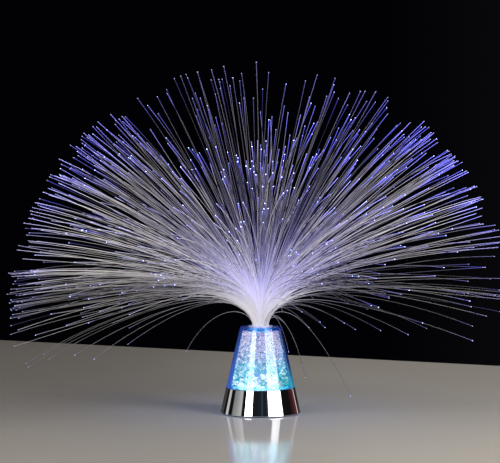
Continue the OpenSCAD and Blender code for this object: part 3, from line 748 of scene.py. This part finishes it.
def table():
    edge = [(-3.0, 0.677), (-0.32, 0.677), (0.29, 0.384), (3.0, 0.384)]
    bm = bmesh.new()
    outline = [(-3.0, -3.0), (3.0, -3.0)] + edge[::-1]
    bm.faces.new([bm.verts.new((x, y, 0)) for x, y in outline])
    ext = bmesh.ops.extrude_face_region(bm, geom=list(bm.faces))
    bmesh.ops.translate(bm, vec=(0, 0, -0.03), verts=[v for v in ext["geom"] if isinstance(v, bmesh.types.BMVert)])
    bmesh.ops.recalc_face_normals(bm, faces=bm.faces)
    me = bpy.data.meshes.new("floor")
    bm.to_mesh(me)
    bm.free()
    o = bpy.data.objects.new("floor", me)
    scene.collection.objects.link(o)
    g = Graph("pale_table")
    soft = g.noise(2.2, 3)
    # painted light: the table's colour grows lighter towards the right, where the stronger light falls
    right = g.ramp(g.span(g.xyz(g.coords())[0], -0.34, 0.34, 0, 1), [
        (0.0, (0.80, 0.79, 0.78)), (0.32, (0.86, 0.86, 0.87)), (0.5, (0.99, 0.99, 0.99)), (0.65, (1.12, 1.12, 1.12)), (1.0, (1.24, 1.24, 1.23))])
    pos = g.xyz(g.coords())
    # painted shade: darker towards the back on the left, lighter towards the front on the left
    painted_left_shade = g.math("MULTIPLY", g.span(pos[0], -0.25, 0.02, 1, 0, smooth=True), g.span(pos[1], -0.45, 0.45, -0.13, 0.15))
    right = g.scaled(right, g.math("SUBTRACT", 1.0, painted_left_shade))
    # painted pool of blue light round the lamp's base, as emission: the lamp's spilled light painted on the table
    near = g.math("POWER", 2.718, g.math("MULTIPLY", g.math("POWER", g.math("DIVIDE", g.length(g.coords()), 0.15), 2.0), -1.0))
    base = g.mix(g.span(soft, 0.3, 0.7, 0, 1), (0.64, 0.597, 0.53), (0.70, 0.655, 0.595))
    g.set(base_color=g.mix(1.0, base, right, blend="MULTIPLY"), roughness=g.span(g.noise(160, 3), 0.3, 0.7, 0.075, 0.105),
          emission_color=g.scaled((0.10, 0.36, 1.0), near), emission_strength=0.075)
    g.bump(g.noise(110, 3), 0.07, 0.0008)
    me.materials.append(g.m)
    o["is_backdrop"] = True
    return o


table()


# ---------------------------------------------------------------- light

def softbox(name, az, elev, dist, width, height, radiance, tint, diffuse=True, glossy=True):
    """A rectangular light that faces the lamp. az 0 is at the camera, positive to its right."""
    a, e = math.radians(az), math.radians(elev)
    at = Vector((math.sin(a) * math.cos(e), -math.cos(a) * math.cos(e), math.sin(e))) * dist + Vector((0, 0, 0.05))
    data = bpy.data.lights.new(name, "AREA")
    data.shape = "RECTANGLE"
    data.size, data.size_y = width, height
    data.energy = radiance * math.pi * width * height
    data.color = tint
    o = bpy.data.objects.new(name, data)
    o.location = at
    o.rotation_euler = (Vector((0, 0, 0.05)) - at).to_track_quat("-Z", "Y").to_euler()
    o.visible_camera = False
    o.visible_diffuse = diffuse
    o.visible_glossy = glossy
    scene.collection.objects.link(o)
    return o


softbox("strip_left", -36, 12.5, 1.5, 0.56, 0.60, 7.0, (1, 0.93, 0.92), diffuse=False)
softbox("strip_left_high", -36, 42, 1.5, 0.50, 0.5, 0.30, (1, 1, 1), diffuse=False)
softbox("strip_right", 46, 12.5, 1.5, 1.18, 0.60, 5.4, (1, 0.93, 0.92), diffuse=False)
softbox("strip_right_high", 50, 34, 1.5, 0.62, 0.36, 1.7, (1, 1, 1), diffuse=False)
softbox("soft_left", -52, 32, 1.6, 1.1, 1.2, 2.5, (1.0, 0.985, 0.96), glossy=False)
softbox("soft_right", 50, 32, 1.6, 0.62, 0.62, 13.2, (1.0, 0.985, 0.96), glossy=False)
softbox("soft_top", 0, 86, 1.6, 1.2, 1.2, 1.3, (1.0, 0.99, 0.98), glossy=False)

world = bpy.data.worlds.new("studio")
scene.world = world
world.use_nodes = True
wt = world.node_tree
wt.nodes.clear()
w_out = wt.nodes.new("ShaderNodeOutputWorld")
w_bg = wt.nodes.new("ShaderNodeBackground")
w_tc = wt.nodes.new("ShaderNodeTexCoord")
w_sep = wt.nodes.new("ShaderNodeSeparateXYZ")
w_neg = wt.nodes.new("ShaderNodeMath")
w_neg.operation = "MULTIPLY"
w_neg.inputs[1].default_value = -1
w_atan = wt.nodes.new("ShaderNodeMath")
w_atan.operation = "ARCTAN2"
w_map = wt.nodes.new("ShaderNodeMapRange")
w_map.inputs["From Min"].default_value = -math.pi
w_map.inputs["From Max"].default_value = math.pi
w_ramp = wt.nodes.new("ShaderNodeValToRGB")
w_path = wt.nodes.new("ShaderNodeLightPath")
w_mix = wt.nodes.new("ShaderNodeMix")
w_mix.data_type = "RGBA"
wt.links.new(w_tc.outputs["Generated"], w_sep.inputs[0])
wt.links.new(w_sep.outputs[1], w_neg.inputs[0])
wt.links.new(w_sep.outputs[0], w_atan.inputs[0])
wt.links.new(w_neg.outputs[0], w_atan.inputs[1])
wt.links.new(w_atan.outputs[0], w_map.inputs["Value"])
wt.links.new(w_map.outputs["Result"], w_ramp.inputs[0])
wt.links.new(w_path.outputs["Is Camera Ray"], w_mix.inputs["Factor"])
wt.links.new(w_ramp.outputs[0], w_mix.inputs[6])
w_side = wt.nodes.new("ShaderNodeMapRange")
w_side.inputs["From Min"].default_value = 0.035
w_side.inputs["From Max"].default_value = 0.068
w_back = wt.nodes.new("ShaderNodeValToRGB")
w_back.color_ramp.elements[0].color = (0.0006, 0.0006, 0.0013, 1)
w_back.color_ramp.elements[1].color = (0.0026, 0.0026, 0.0033, 1)
wt.links.new(w_sep.outputs[0], w_side.inputs["Value"])
wt.links.new(w_side.outputs["Result"], w_back.inputs[0])
wt.links.new(w_back.outputs[0], w_mix.inputs[7])
wt.links.new(w_mix.outputs[2], w_bg.inputs["Color"])
wt.links.new(w_bg.outputs[0], w_out.inputs["Surface"])
w_bg.inputs["Strength"].default_value = 1.0


def world_stops(stops):
    """Colours at angles round the lamp, in degrees, 0 behind the camera and positive to its right."""
    e = w_ramp.color_ramp.elements
    while len(e) > 1:
        e.remove(e[-1])
    e[0].position, e[0].color = (stops[0][0] + 180) / 360, (*stops[0][1], 1)
    for d, c in stops[1:]:
        e.new((d + 180) / 360).color = (*c, 1)


DARK = (0.006, 0.006, 0.007)
world_stops([
    (-180, DARK), (-153, DARK), (-151, (0.05, 0.048, 0.046)), (-135, (0.05, 0.048, 0.046)), (-133, DARK),
    (-121, DARK), (-119, (0.55, 0.55, 0.54)), (-109, (0.55, 0.55, 0.54)), (-107, DARK),
    (-93, DARK), (-91, (0.21, 0.21, 0.21)), (-75, (0.33, 0.33, 0.33)), (-60, (0.50, 0.50, 0.49)), (-58, DARK),
    (-12, (0.009, 0.011, 0.015)), (1, (0.012, 0.016, 0.024)), (4, (0.040, 0.055, 0.085)), (8, (0.014, 0.018, 0.028)), (17, (0.010, 0.012, 0.018)), (20, (0.035, 0.045, 0.065)), (23, DARK),
    (102, DARK), (105, (0.035, 0.010, 0.012)), (117, (0.050, 0.013, 0.014)), (120, (0.105, 0.030, 0.030)),
    (131, (0.085, 0.025, 0.026)), (132.5, (0.75, 0.72, 0.70)), (135.5, (0.75, 0.72, 0.70)), (137, (0.05, 0.015, 0.016)), (150, (0.03, 0.010, 0.010)),
    (153, DARK), (180, DARK)])

scene.view_settings.view_transform = "Standard"
scene.view_settings.look = "None"
scene.view_settings.exposure = 0.0
scene.view_settings.gamma = 1.0

# ---------------------------------------------------------------- sizes and end

lo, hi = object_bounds()
